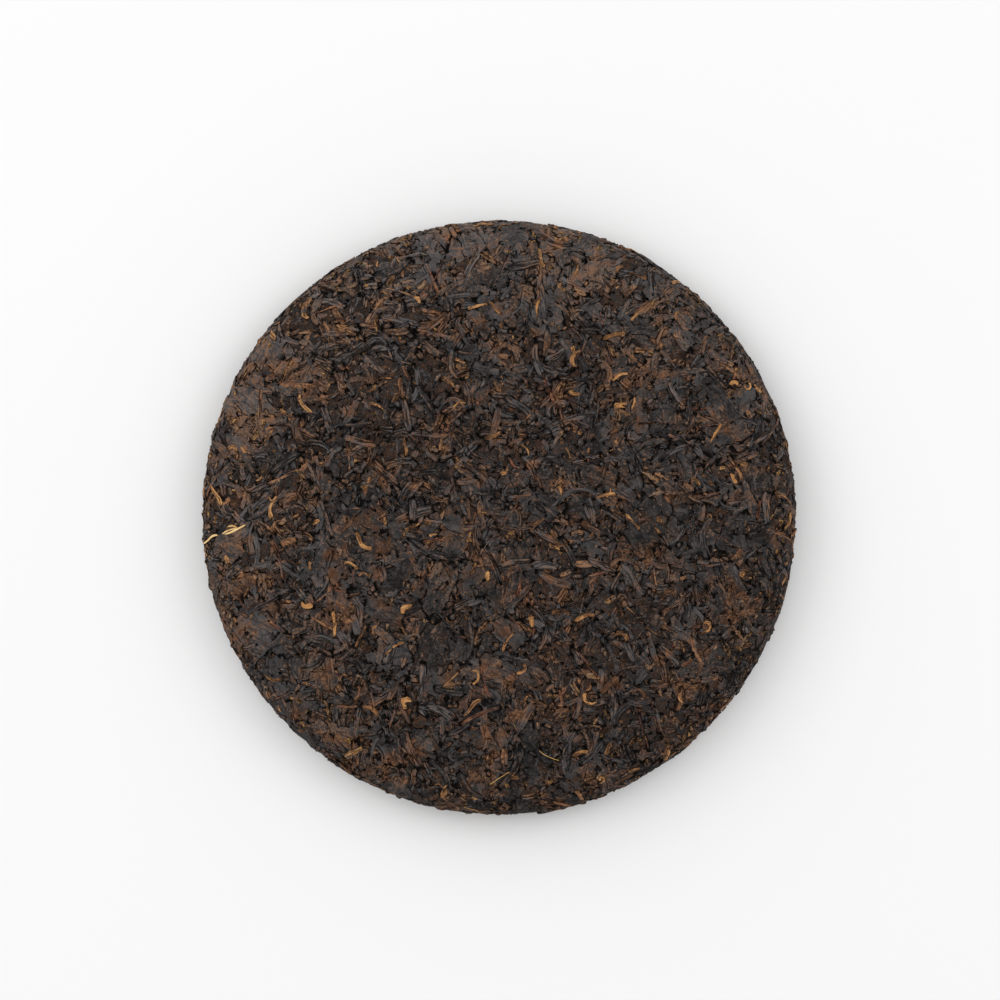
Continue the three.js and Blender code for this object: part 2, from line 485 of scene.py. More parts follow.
class Batch:
    """Leaves of one kind on one sheet. plan[leaf, station, point] is where a point of the upper
    side lies on the sheet, rise how far it stands over the place where the leaf settles, and when
    its turn to be laid. A stiff leaf lies on the highest point under each of its stations, and a
    soft one follows what is under it. It sinks in by `sink`, and its tips by `tip_dip` more. Its
    lower side has `unders` points at a station, and `outline` says how dark the painted shade
    along its edges is."""

    def __init__(self, rng, plan, rise, grain, when, sink, unders=1, stiffness=1.0, tip_dip=0.3,
                 outline=1.0):
        self.plan, self.rise, self.grain, self.when = plan, rise, grain, when
        self.number, self.stations, self.tops = rise.shape
        self.sink, self.unders, self.stiffness = sink, unders, stiffness
        self.tone = rng.uniform(0, 1, self.number)
        # Painted shade along each side of every station and at the ends, for the cracks between pieces
        self.rim = outline * rng.uniform(0, 1, (self.number, self.stations, 2)) ** 0.25
        self.end_shade = 0.5 * outline
        # Where just inside its edges a leaf is painted paler: painted highlight where a curled edge
        # catches the light, and wear
        self.worn = rng.uniform(0, 1, (self.number, 1, 2)) * rng.uniform(0.6, 1, self.rim.shape)
        self.seat = np.zeros_like(rise)
        ends = np.linspace(-1, 1, self.stations) ** 4
        self.dip = tip_dip * ends[:, None]
        self.along, self.across = smoothing(self.stations, 0.9), smoothing(self.tops, 0.8).T

    def find_cells(self, sheet):
        """Finds the cells of the height map under each leaf's points, and under finer ones."""
        self.cells = np.moveaxis(sheet.cell(self.plan), -1, 0)
        span = np.linalg.norm(self.plan[:, 1:] - self.plan[:, :-1], axis=-1).sum(1).max()
        width = np.linalg.norm(self.plan[:, :, 0] - self.plan[:, :, -1], axis=-1).max()
        self.stamp_along = finer(self.stations, max(int(span / CELL), self.stations))
        self.stamp_across = finer(self.tops, max(int(width / CELL), self.tops)).T
        fine = np.einsum("as,nspc,pb->nabc", self.stamp_along, self.plan, self.stamp_across)
        self.fine_cells = np.moveaxis(sheet.cell(fine), -1, 0)

    def settle(self, i, height):
        """Lays a leaf on the height map, and raises the map to its top."""
        rows, cols = self.cells[:, i]
        under = height[rows, cols]
        ridge = under.max(1, keepdims=True)
        rest = (1 - self.stiffness) * under + self.stiffness * ridge
        seat = self.along @ rest @ self.across - self.dip - self.sink[i]
        self.seat[i] = seat
        fine_rows, fine_cols = self.fine_cells[:, i]
        patch = self.stamp_along @ (seat + self.rise[i]) @ self.stamp_across
        height[fine_rows, fine_cols] = np.maximum(height[fine_rows, fine_cols], patch)

    def drop_buried(self, sheet):
        """Leaves out the leaves that others cover completely."""
        top = sheet.under(sheet.height, self.plan[..., 0], self.plan[..., 1])
        seen = (top - self.seat - self.rise < BURIED).any((1, 2))
        for name in ("plan", "rise", "grain", "tone", "rim", "worn", "seat"):
            setattr(self, name, getattr(self, name)[seen])
        self.number = int(seen.sum())

    def rings(self, sheet):
        """Each leaf's points round its stations: over the top from right to left, then back under
        it. Gives their places on the sheet, pressed heights, grain, painted shade, and painted light
        and wear."""
        at = np.linspace(self.tops - 1, 0, self.unders + 2)[1:-1]
        pick = np.maximum(1 - abs(at[:, None] - np.arange(self.tops)), 0)
        below, grain_below = (np.einsum("up,nspc->nsuc", pick, v) for v in (self.plan, self.grain))
        for end, inner in ((0, 1), (-1, -2)):
            below[:, end] += END_TUCK * (below[:, inner] - below[:, end])
        dents = np.minimum(self.rise, 0).min(2, keepdims=True)
        low = np.einsum("up,nsp->nsu", pick, self.seat) + dents - LEAF_DEPTH
        plan = np.concatenate([self.plan, below], 2)
        height = np.concatenate([self.seat + self.rise, low], 2)
        height = sheet.pressed(plan[..., 0], plan[..., 1], height)
        shade, lit_and_worn = self.shades(sheet, height[:, :, :self.tops])
        # The lower side's points get full painted shade, and neither painted light nor wear
        return (plan, height, np.concatenate([self.grain, grain_below], 2),
                np.concatenate([shade, np.ones_like(low)], 2),
                np.concatenate([lit_and_worn, np.zeros_like(low)], 2))

    def shades(self, sheet, height):
        """How much painted shade, and how much painted light and wear, the upper side's points get. Its
        edges get painted shade, and just inside them it is painted paler here and there: a painted
        highlight where a curled edge catches the light, and wear."""
        x, y = np.moveaxis(self.plan, -1, 0)
        edge = np.zeros_like(height)
        # Painted shade along the sides and at the ends, where the cracks between pieces are
        edge[:, :, 0], edge[:, :, -1] = self.rim[..., 0], self.rim[..., 1]
        edge[:, 0] = edge[:, -1] = np.maximum(self.end_shade, edge[:, :1].max(2))
        lit_and_worn = light_and_wear(sheet, x, y) * (1 - edge)
        if self.tops > 3:
            for beside, side in ((1, 0), (-2, 1)):
                lit_and_worn[:, :, beside] += smoothstep(self.worn[..., side], 0.7, 1.0)
        return np.maximum(crack_shade(sheet, x, y, height), edge), lit_and_worn


def centre_lines(rng, place, length, stations, bend, wriggle):
    """Curved centre lines that lie in all directions, each with its middle at its place. Gives the
    share of the way along them that each station is at, their points and their headings."""
    number = len(place)
    s = np.linspace(0, 1, stations)
    turn = rng.uniform(0, 2 * math.pi, (number, 1))
    phase = rng.uniform(0, 2 * math.pi, (number, 1))
    heading = (turn + bend[:, None] * (s - 0.5)
               + wriggle[:, None] * np.sin(2 * math.pi * s * 0.9 + phase))
    middle = (heading[:, 1:] + heading[:, :-1]) / 2
    step = (length / (stations - 1))[:, None, None] * np.stack([np.cos(middle), np.sin(middle)], -1)
    line = np.concatenate([np.zeros((number, 1, 2)), np.cumsum(step, 1)], 1)
    line += (place - line.mean(1))[:, None]
    return s, line, heading


def ribbons(line, heading, half, u):
    """Points across the centre lines: half the width to the left at each share u."""
    left = np.stack([-np.sin(heading), np.cos(heading)], -1)
    return line[:, :, None] + left[:, :, None] * (half * u)[..., None]


def grain_of(rng, s, length, half, u):
    """Distance along and across each leaf, and a third number that sets the leaves apart."""
    across = half * u
    along = np.broadcast_to((s * length[:, None])[:, :, None], across.shape)
    apart = np.broadcast_to(rng.uniform(0, 900, len(length))[:, None, None], across.shape)
    return np.stack([along, across, apart], -1)


def across_leaf(tops):
    """Places across a leaf from -1 to 1, closer together near its edges."""
    even = np.linspace(-1, 1, tops)
    return np.sign(even) * abs(even) ** 0.6


def between(rng, low, high, number, lean=1.0):
    """Random sizes from low to high; a lean over 1 favours small ones."""
    return low + (high - low) * rng.uniform(0, 1, number) ** lean


def blunt_ends(rng, number, s):
    """Share of its width that each piece has along it, which falls off near each end by its own
    amount."""
    taper = 0.8 * rng.uniform(0, 1, (number, 2)) ** 2
    side = np.where(s < 0.5, taper[:, :1], taper[:, 1:])
    return 1 - side * abs(2 * s - 1) ** rng.uniform(2.5, 6, (number, 1))


def tear_ends(rng, plan, heading, s, width):
    """Moves the ends' points along the leaf, so that it looks torn off."""
    ahead = np.stack([np.cos(heading), np.sin(heading)], -1)[:, :, None]
    slant = rng.uniform(-0.6, 0.6, (len(plan), 1, 1)) * np.linspace(-1, 1, plan.shape[2])
    ragged = slant + rng.normal(0, 0.28, plan.shape[:3])
    return plan + ahead * (ragged * width[:, None, None] * abs(2 * s - 1)[:, None] ** 3)[..., None]


def strips(sheet, number, length, width, thick, curl, points, order=(0, 1), region=None):
    """Rolled leaf: narrow strips with lengthwise folds that twist along them, some of them hooked.
    Each has so many points along and across it."""
    rng = sheet.rng
    stations, tops = points
    place = even_spread(sheet, number, region, 2.0, spare=3)
    length = between(rng, *length, number, 1.5)
    width = between(rng, *width, number)
    hooked = rng.uniform(0, 1, number) < 0.2
    bend = rng.normal(0, curl, number) + hooked * rng.normal(0, 2.4, number)
    s, line, heading = centre_lines(rng, place, length, stations, bend, rng.uniform(0, 0.4, number))
    u = across_leaf(tops)
    uneven = rng.normal(0, 0.16, (number, stations)) @ smoothing(stations, 0.6)
    half = (width[:, None] / 2 * blunt_ends(rng, number, s) * (1 + uneven))[:, :, None]
    plan = tear_ends(rng, ribbons(line, heading, half, u), heading, s, width * 0.5)
    plan += rng.normal(0, 0.04, plan.shape)
    twist = rng.normal(0, 2.2, (number, 1, 1)) * s[:, None]
    fold = rng.uniform(0, 2 * math.pi, (number, 1, 1)) + twist
    folds = rng.choice([1.0, 1.5, 2.0], (number, 1, 1))
    arch = 1 - abs(u) ** 3
    thick = between(rng, *thick, number)[:, None, None]
    rise = thick * (0.05 + arch * (0.7 + 0.35 * np.cos(folds * math.pi * u + fold)))
    rise += rng.normal(0, 0.03, rise.shape)
    when = rng.uniform(*order, number)
    return Batch(rng, plan, rise, grain_of(rng, s, length, half, u), when,
                 sink=rng.uniform(0, 0.3, number))


def blades(sheet, number):
    """Broad flat leaf: crumpled flakes with torn edges, more of them towards the side."""
    rng = sheet.rng
    region = blade_region(sheet)
    place = even_spread(sheet, number, region)
    length = between(rng, 6, 20, number, 1.5)
    width = length * rng.uniform(0.4, 0.8, number)
    bend = rng.normal(0, 0.5, number)
    stations, tops = 10, 9
    s, line, heading = centre_lines(rng, place, length, stations, bend, np.zeros(number))
    u = across_leaf(tops)
    torn = rng.normal(0, 0.26, (number, stations, 2))
    torn = np.einsum("st,ntk->nsk", smoothing(stations, 0.6), torn)
    reach = np.where(u < 0, torn[..., :1], torn[..., 1:])
    half = (width[:, None] / 2 * blunt_ends(rng, number, s))[:, :, None] * (1 + reach * abs(u))
    plan = tear_ends(rng, ribbons(line, heading, half, u), heading, s, width * 0.4)
    thick = rng.uniform(0.05, 0.2, (number, 1, 1))
    apart = rng.uniform(0, 60, (number, 1, 1))
    x, y = np.moveaxis(plan, -1, 0)
    crumple = (0.3 * lumps(x / 3, y / 3, apart, CRUMPLE)
               - 0.4 * abs(lumps(x / 4, y / 4, apart, CREASES)))
    vein = rng.uniform(0, 0.16, (number, 1, 1)) * np.exp(-(u / 0.2) ** 2)
    rise = thick + 0.06 + crumple + vein - 0.12 * abs(u) ** 6
    on_top = smoothstep(region(*place.T) + rng.normal(0, 0.4, number), -0.5, 0.4)
    when = rng.uniform(0.1, 0.4, number) + 0.5 * on_top
    return Batch(rng, plan, rise, grain_of(rng, s, length, half, u), when, unders=2, stiffness=0.45,
                 tip_dip=0.12, sink=rng.uniform(0, 0.25, number))


def stalks(sheet, number):
    """Leaf stalks: nearly straight, even in width, broken square at both ends."""
    rng = sheet.rng
    place = even_spread(sheet, number)
    length = between(rng, 5, 17, number, 1.3)
    width = rng.uniform(0.8, 1.5, number)
    stations, tops = 6, 5
    s, line, heading = centre_lines(rng, place, length, stations, rng.normal(0, 0.3, number),
                                    rng.uniform(0, 0.15, number))
    u = np.linspace(-1, 1, tops)
    uneven = 1 + rng.normal(0, 0.1, (number, stations))
    half = (width[:, None] / 2 * uneven)[:, :, None]
    plan = tear_ends(rng, ribbons(line, heading, half, u), heading, s, width * 0.6)
    rise = rng.uniform(0.4, 0.7, (number, 1, 1)) * (0.1 + 0.9 * (1 - u ** 4)) * np.ones((stations, 1))
    return Batch(rng, plan, rise, grain_of(rng, s, length, half, u), rng.uniform(0.6, 1.1, number),
                 tip_dip=0.1, sink=rng.uniform(0.1, 0.4, number))


def buds(sheet, number):
    """Leaf buds: plump at the foot, drawn out to a tip, creased and bent, and often broken."""
    rng = sheet.rng
    place = even_spread(sheet, number)
    length = between(rng, 2.5, 10, number, 1.3)
    width = between(rng, 0.9, 2.3, number)
    stations, tops = 7, 5
    hooked = rng.uniform(0, 1, number) < 0.35
    bend = rng.normal(0, 0.8, number) + hooked * rng.normal(0, 2.6, number)
    s, line, heading = centre_lines(rng, place, length, stations, bend, rng.uniform(0, 0.5, number))
    u = across_leaf(tops)
    plump = 1 - rng.uniform(0.1, 0.8, (number, 1)) * s ** rng.uniform(0.9, 2.2, (number, 1))
    plump = plump * (1 - 0.5 * (1 - s) ** 8) * (1 + rng.normal(0, 0.16, (number, stations)))
    half = (width[:, None] / 2 * plump)[:, :, None]
    plan = tear_ends(rng, ribbons(line, heading, half, u), heading, s, width * 0.5)
    plan += rng.normal(0, 0.05, plan.shape)
    crease = 1 - 0.45 * np.exp(-((u - rng.uniform(-0.3, 0.3, (number, 1, 1))) / 0.25) ** 2)
    rise = rng.uniform(0.35, 0.6, (number, 1, 1)) * (0.1 + 0.9 * (1 - abs(u) ** 3) * crease)
    rise = rise * plump[:, :, None] + rng.normal(0, 0.05, (number, stations, tops))
    return Batch(rng, plan, rise, grain_of(rng, s, length, half, u), rng.uniform(0, 1, number),
                 tip_dip=0.12, sink=rng.uniform(0, 0.3, number))


def crumbs(sheet, number, sizes, stations=3, region=None, thick=0.3):
    """Broken crumbs: small angular lumps, in the gaps unless a region is given."""
    rng = sheet.rng
    place = even_spread(sheet, number, region or gaps(sheet), 3.0, spare=5)
    length = between(rng, *sizes, number, 1.6)
    width = length * rng.uniform(0.3, 0.8, number)
    tops = 3
    s, line, heading = centre_lines(rng, place, length, stations, np.zeros(number), np.zeros(number))
    u = np.linspace(-1, 1, tops)
    narrow = rng.uniform(0.1, 0.7, (number, stations)) * abs(2 * s - 1)
    half = (width[:, None] / 2 * (1 - narrow))[:, :, None]
    plan = ribbons(line, heading, half, u)
    plan += rng.normal(0, 0.14, plan.shape) * length[:, None, None, None]
    broken = rng.uniform(0.4, 1.2, (number, stations, tops))
    rise = thick * np.minimum(length, 1.7)[:, None, None] * np.array([0.3, 1, 0.3]) * broken
    return Batch(rng, plan, rise, grain_of(rng, s, length, half, u), rng.uniform(0, 1, number),
                 tip_dip=0.05, sink=rng.uniform(0, 0.2, number), outline=0.3)


def strand(sheet, points, width, thick=0.3, stations=9):
    """A fibre along a smooth line through a few points, given as they lie on the finished cake."""
    t = np.linspace(0, 1, stations)
    points = np.array(points, float)
    run = np.concatenate([[0], np.cumsum(np.hypot(*np.diff(points, axis=0).T))])
    line = np.stack([np.interp(t * run[-1], run, column) for column in points.T], -1)
    line = smoothing(stations, 0.7) @ line
    radius = np.hypot(*line.T)
    line *= (sheet.surface.arc_at(radius) / radius)[:, None]
    step = np.gradient(line, axis=0)
    heading = np.arctan2(step[:, 1], step[:, 0])[None]
    u = across_leaf(5)
    half = (width / 2 * (1 - 0.6 * abs(2 * t - 1) ** 5))[None, :, None]
    plan = ribbons(line[None], heading, half, u)
    rise = thick * (0.2 + 0.8 * np.sqrt(1 - u ** 2)) * np.ones((1, stations, 1))
    return Batch(sheet.rng, plan, rise, grain_of(sheet.rng, t, run[-1:], half, u), np.full(1, LAST),
                 tip_dip=0.0, sink=np.zeros(1), outline=0.5)


def straw(sheet):
    """The one pale stalk fibre: it comes up over the side, splits in two strands that meet again,
    and a third strand curls back from there."""
    over_side = (-98.9, -9.9), (-96.9, -9.0), (-96.0, -7.8), (-94.3, -7.3), (-93.4, -7.6)
    upper = (-92.4, -7.3), (-90.2, -5.9), (-88.0, -5.5), (-86.4, -5.3)
    lower = (-91.6, -7.3), (-89.5, -6.8), (-87.4, -5.9), (-86.0, -5.2), (-83.8, -4.1)
    curl = (-86.8, -5.4), (-87.7, -4.6), (-88.9, -4.4), (-90.4, -4.8)
    return [strand(sheet, over_side, 0.75), strand(sheet, upper, 0.5), strand(sheet, lower, 0.65),
            strand(sheet, curl, 0.55)]


def rim_stalks(sheet):
    """Three reddish stalks at the left: two straight ones, and one bent along the rim."""
    return [strand(sheet, ((-72.8, 43.0), (-66.7, 42.5), (-61.0, 42.3)), 1.6),
            strand(sheet, ((-78.8, 42.2), (-79.1, 36.5), (-79.4, 30.9)), 1.2),
            strand(sheet, ((-59.4, -76.6), (-55.8, -77.9), (-52.4, -80.6), (-51.0, -84.4)), 1.4)]


def fibres(sheet, number):
    """Thin dry fibres of plant, loosely waved."""
    rng = sheet.rng
    place = even_spread(sheet, number)
    length = between(rng, 3, 8, number)
    stations = 7
    s, line, heading = centre_lines(rng, place, length, stations, rng.normal(0, 1.2, number),
                                    rng.uniform(0, 0.6, number))
    u = np.linspace(-1, 1, 3)
    half = rng.uniform(0.08, 0.14, (number, 1, 1)) * np.ones((stations, 1))
    plan = ribbons(line, heading, half, u)
    rise = 0.2 * (0.2 + 0.8 * np.sqrt(1 - u ** 2)) * np.ones((number, stations, 1))
    return Batch(rng, plan, rise, grain_of(rng, s, length, half, u), rng.uniform(0, 1, number),
                 tip_dip=0.0, sink=np.zeros(number))


def lay_side(sheet, counts, part):
    """Lays and presses the leaf of one side, with this part of the counts. Gives the batches of each
    kind, which are made in the order that they draw from the sheet's random numbers."""
    def some(number):
        return max(int(number * part), 1)

    kinds = {
        "leaf_blades": [blades(sheet, some(counts.blades))],
        "leaf_strips": [
            strips(sheet, some(counts.strips), length=(5, 16), width=(1.3, 3.2), thick=(0.35, 0.8),
                   curl=0.45, points=(6, 6), order=(0.2, 1)),
            strips(sheet, some(counts.long_strips), length=(10, 20), width=(1.6, 3.2),
                   thick=(0.4, 0.8), curl=0.5, points=(9, 6), order=(0.4, 1))],
        "leaf_bits": [
            strips(sheet, some(counts.bits), length=(2.5, 5.5), width=(1.2, 2.4), thick=(0.3, 0.7),
                   curl=0.5, points=(3, 4), order=(0, 0.5))],
        "brown_strips": [
            strips(sheet, some(counts.brown_strips), length=(4.5, 12), width=(1.2, 2.7),
                   thick=(0.35, 0.75), curl=0.6, points=(6, 6), order=(0.2, 1)),
            strips(sheet, some(counts.brown_bits), length=(2, 5), width=(1.0, 2.0), thick=(0.3, 0.6),
                   curl=0.5, points=(3, 4), order=(0, 0.7))],
        "stalks": [stalks(sheet, some(counts.stalks))],
    }
    sheet.lay(sum(kinds.values(), []))
    sheet.fill()
    in_gaps = {
        "leaf_bits": strips(sheet, some(counts.gap_bits), length=(2, 6), width=(1.1, 2.4),
                            thick=(0.3, 0.7), curl=0.5, points=(3, 4), region=gaps(sheet)),
        "brown_strips": strips(sheet, some(counts.brown_gap_bits), length=(2, 5), width=(0.9, 2.0),
                               thick=(0.3, 0.6), curl=0.5, points=(3, 4), region=gaps(sheet)),
    }
    sheet.lay(list(in_gaps.values()))
    for kind, batch in in_gaps.items():
        kinds[kind].append(batch)
    on_top = {
        "buds": [buds(sheet, some(counts.buds))],
        "crumbs": [crumbs(sheet, some(counts.crumbs), (1.2, 3.0)),
                   crumbs(sheet, some(counts.shards), (0.7, 1.8), stations=2)],
        "tan_crumbs": [crumbs(sheet, some(counts.tan_crumbs), (0.5, 1.8), stations=2)],
        "fibres": [fibres(sheet, some(counts.fibres))],
    }
    if not sheet.back:
        on_top["crumbs"].append(crumbs(sheet, counts.side_crumbs, (0.8, 3.2),
                                       region=side_band(sheet), thick=0.35))
        on_top["tan_crumbs"].append(crumbs(sheet, counts.rim_crumbs, (0.8, 2.2),
                                           region=rim_band(sheet)))
        on_top["fibres"] += straw(sheet)
        red = rim_stalks(sheet)
        sheet.lay(red)
        kinds["stalks"] += red
    sheet.lay(sum(on_top.values(), []))
    kinds |= on_top
    for batch in sum(kinds.values(), []):
        batch.drop_buried(sheet)
    sheet.press()
    return kinds


_laid = {}


def laid_leaf(settings):
    """Both sides with their leaf laid and pressed: name of side to (sheet, batches by kind). The
    work is done once for all the operators, until the core's operator starts anew."""
    if not _laid:
        surface = Surface(settings.shape)
        past_foot, short_of_foot = 2.0, 1.0
        sides = (("top", False, surface.foot + past_foot, 1.0),
                 ("back", True, surface.length - surface.foot - short_of_foot,
                  settings.counts.back_share))
        for seed, (side, back, reach, part) in enumerate(sides, 100):
            sheet = Sheet(surface, back, reach, seed)
            _laid[side] = (sheet, lay_side(sheet, settings.counts, part))
    return _laid


# Meshes


# What the materials read at each point: the tone of its leaf, how much painted shade darkens it in
# cracks, along its edges and on its lower side, how much painted light and wear make it paler or
# darker, and the grain, which is how far it is along and across its leaf and that leaf's number
ATTRIBUTES = {"tone": "FLOAT", "low": "FLOAT", "lit_and_worn": "FLOAT", "grain": "FLOAT_VECTOR"}


def leaf_faces(batch):
    """Corner indices, face starts and texture places of one leaf of the batch: quads between its
    stations, then a cap of triangles at each end, which follows the torn outline. On its cell of
    the texture square the upper side has twice the width of the lower one, inside a margin."""
    ring = batch.tops + batch.unders
    margin, turn, end = 0.03, 0.66, 0.1
    across = np.concatenate([np.linspace(margin, turn, batch.tops),
                             np.linspace(turn, 1 - margin, batch.unders + 2)[1:]])
    along = np.linspace(end, 1 - end, batch.stations)
    corners, starts, places = [], [], []
    for k in range(batch.stations - 1):
        for j in range(ring):
            after = (j + 1) % ring
            starts.append(len(corners))
            corners += [k * ring + j, (k + 1) * ring + j, (k + 1) * ring + after, k * ring + after]
            places += [(across[j], along[k]), (across[j], along[k + 1]),
                       (across[j + 1], along[k + 1]), (across[j + 1], along[k])]
    below = np.linspace(across[batch.tops - 1], across[0], batch.unders + 2)[1:-1]
    for first, edge, beyond, step in ((0, end, margin, 1),
                                      ((batch.stations - 1) * ring, 1 - end, 1 - margin, -1)):
        at = [(x, edge) for x in across[:batch.tops]] + [(x, beyond) for x in below]
        for triangle in cap_triangles(batch.tops, batch.unders):
            starts.append(len(corners))
            corners += [first + i for i in triangle[::step]]
            places += [at[i] for i in triangle[::step]]
    return np.array(corners), np.array(starts), np.array(places)


def cap_triangles(tops, unders):
    """Triangles between the upper points of a leaf's end, from left to right, and the lower ones,
    which follow them from right to left."""
    lower_at = np.linspace(tops - 1, 0, unders + 2)[1:-1]
    lower = unders - 1
    triangles = []
    for j in range(tops - 1):
        while lower > abs(lower_at - j - 0.5).argmin():
            triangles.append((tops + lower - 1, tops + lower, j))
            lower -= 1
        triangles.append((j, j + 1, tops + lower))
    return triangles


def above_floor(points):
    """Squeezes leaf that lies low, so that it all stays over the floor and in order."""
    z = points[..., 2]
    points[..., 2] = np.where(z < SQUEEZED, SQUEEZED * np.exp(z / SQUEEZED - 1), z)
    return points


def leaf_mesh(sheet, batch):
    """Vertices, faces, texture places and attributes of a batch, wrapped on the cake."""
    plan, height, grain, shade, lit_and_worn = batch.rings(sheet)
    points = above_floor(sheet.surface.wrap(plan[..., 0], plan[..., 1], height, sheet.back))
    corners, starts, places = leaf_faces(batch)
    leaf = np.arange(batch.number)
    tone = np.broadcast_to(batch.tone[:, None, None], height.shape)
    return {
        "points": points.reshape(-1, 3),
        "corners": (corners + leaf[:, None] * len(points[0].reshape(-1, 3))).ravel(),
        "starts": (starts + leaf[:, None] * len(corners)).ravel(),
        "places": np.broadcast_to(places, (batch.number, *places.shape)),
        "tone": tone.ravel(),
        "low": shade.ravel(),
        "lit_and_worn": lit_and_worn.ravel(),
        "grain": grain.reshape(-1, 3),
    }


def share_texture(meshes):
    """Gives each leaf of the meshes its own cell of the texture square."""
    leaves = sum(len(mesh["places"]) for mesh in meshes)
    columns = math.ceil(math.sqrt(leaves * 2))
    rows = math.ceil(leaves / columns)
    first = 0
    for mesh in meshes:
        leaf = first + np.arange(len(mesh["places"]))
        corner = np.stack([leaf % columns, leaf // columns], -1)[:, None]
        mesh["uv"] = ((mesh["places"] + corner) / (columns, rows)).reshape(-1, 2)
        first += len(leaf)


def joined(meshes):
    """One mesh's arrays from several."""
    merged = {key: np.concatenate([mesh[key] for mesh in meshes])
              for key in ("points", "uv", *ATTRIBUTES)}
    for key, counted in (("corners", "points"), ("starts", "corners")):
        before = np.cumsum([0] + [len(mesh[counted]) for mesh in meshes])
        merged[key] = np.concatenate([mesh[key] + n for mesh, n in zip(meshes, before)])
    return merged


def make_object(name, arrays, material, sharp=40):
    """A Blender object from arrays in millimetres, riding on the cake's body."""
    mesh = bpy.data.meshes.new(name)
    mesh.vertices.add(len(arrays["points"]))
    mesh.vertices.foreach_set("co", (arrays["points"] * MM).astype(np.float32).ravel())
    mesh.loops.add(len(arrays["corners"]))
    mesh.loops.foreach_set("vertex_index", arrays["corners"].astype(np.int32))
    mesh.polygons.add(len(arrays["starts"]))
    mesh.polygons.foreach_set("loop_start", arrays["starts"].astype(np.int32))
    mesh.update(calc_edges=True)
    layer = mesh.uv_layers.new(name="OFBake")
    layer.data.foreach_set("uv", arrays["uv"].astype(np.float32).ravel())
    for key, kind in ATTRIBUTES.items():
        attribute = mesh.attributes.new(key, kind, "POINT")
        field = "vector" if kind == "FLOAT_VECTOR" else "value"
        attribute.data.foreach_set(field, arrays[key].astype(np.float32).ravel())
    mesh.shade_smooth()
    mesh.set_sharp_from_angle(angle=math.radians(sharp))
    mesh.materials.append(material)
    piece = bpy.data.objects.new(name, mesh)
    bpy.context.scene.collection.objects.link(piece)
    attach(piece, BODY)
    return piece


def make_leaf(settings, kind, material):
    """The pieces of one kind of leaf, one for each side that has it."""
    for side, (sheet, batches) in laid_leaf(settings).items():
        if kind in batches:
            meshes = [leaf_mesh(sheet, batch) for batch in batches[kind]]
            share_texture(meshes)
            make_object(f"{kind}_{side}", joined(meshes), material)


def disc_grid(cells):
    """A square grid drawn out to the unit disc, with cells of even size."""
    x, y = np.meshgrid(*[np.linspace(-1, 1, cells + 1)] * 2, indexing="ij")
    wide = abs(x) >= abs(y)
    with np.errstate(divide="ignore", invalid="ignore"):
        angle = np.where(wide, math.pi / 4 * y / x, math.pi / 2 - math.pi / 4 * x / y)
    angle = np.nan_to_num(angle)
    radius = np.where(wide, x, y)
    return radius * np.cos(angle), radius * np.sin(angle)


def core_side(sheet, reach, cells, half):
    """One side of the core: pressed dust at the bottom of the cracks. Towards the foot's edge it
    sinks to the core's depth, and it takes up one half of the texture square."""
    x, y = (reach * v for v in disc_grid(cells))
    level = sheet.pressed(x, y, sheet.under(sheet.ground, x, y))
    seam = smoothstep(np.hypot(x, y), reach - 4, reach)
    level = level * (1 - seam) - sheet.surface.mm["core_depth"] * seam
    points = above_floor(sheet.surface.wrap(x, y, level, sheet.back))
    index = np.arange((cells + 1) ** 2).reshape(cells + 1, cells + 1)
    quads = np.stack([index[:-1, :-1], index[1:, :-1], index[1:, 1:], index[:-1, 1:]], -1)
    across, along = (0.01 + 0.98 * (v / reach + 1) / 2 for v in (x, y))
    place = np.stack([(across + half) / 2, along], -1)
    return {
        "points": points.reshape(-1, 3),
        "corners": quads.ravel(),
        "starts": np.arange(0, quads.size, 4),
        "uv": place.reshape(-1, 2)[quads.ravel()],
        "tone": 0.5 + 0.5 * sheet.lumps(x, y, 4.0, DUST_TONE).ravel(),
        # Painted shade in the cracks, weaker than on the leaf; the core gets no painted light
        "low": 0.6 * crack_shade(sheet, x, y, level).ravel(),
        "lit_and_worn": np.zeros(x.size),
        "grain": np.stack([x.ravel(), y.ravel(), np.full(x.size, 3.0 + half)], -1),
    }


def make_core(settings, material):
    """The core: a closed body inside the leaf, replacing the plain solid."""
    sides = laid_leaf(settings)
    surface = sides["top"][0].surface
    reaches = surface.foot, surface.length - surface.foot
    arrays = joined([core_side(sides[side][0], reach, CORE_CELLS, half)
                     for half, (side, reach) in enumerate(zip(("top", "back"), reaches))])
    weld_rims(arrays, CORE_CELLS)
    return make_object("pressed_core", arrays, material, sharp=75)


def weld_rims(arrays, cells):
    """Makes the back's outer points the dome's, so that the two discs close into one body."""
    number = (cells + 1) ** 2
    index = np.arange(number).reshape(cells + 1, cells + 1)
    rim = np.zeros_like(index, bool)
    rim[0], rim[-1], rim[:, 0], rim[:, -1] = True, True, True, True
    swap = np.arange(2 * number)
    swap[number + index[:, ::-1][rim]] = index[rim]
    kept = np.ones(2 * number, bool)
    kept[number + index[rim]] = False
    renumber = np.cumsum(kept) - 1
    arrays["corners"] = renumber[swap[arrays["corners"]]]
    for key in ("points", *ATTRIBUTES):
        arrays[key] = arrays[key][kept]


# Materials


# Sockets of a Mix node that mixes colours
FACTOR, FIRST, SECOND, MIXED = 0, 6, 7, 2

# Ranges that hold most of a noise's values, and its middle ones
MOST = 0.3, 0.7
MIDDLE = 0.35, 0.65


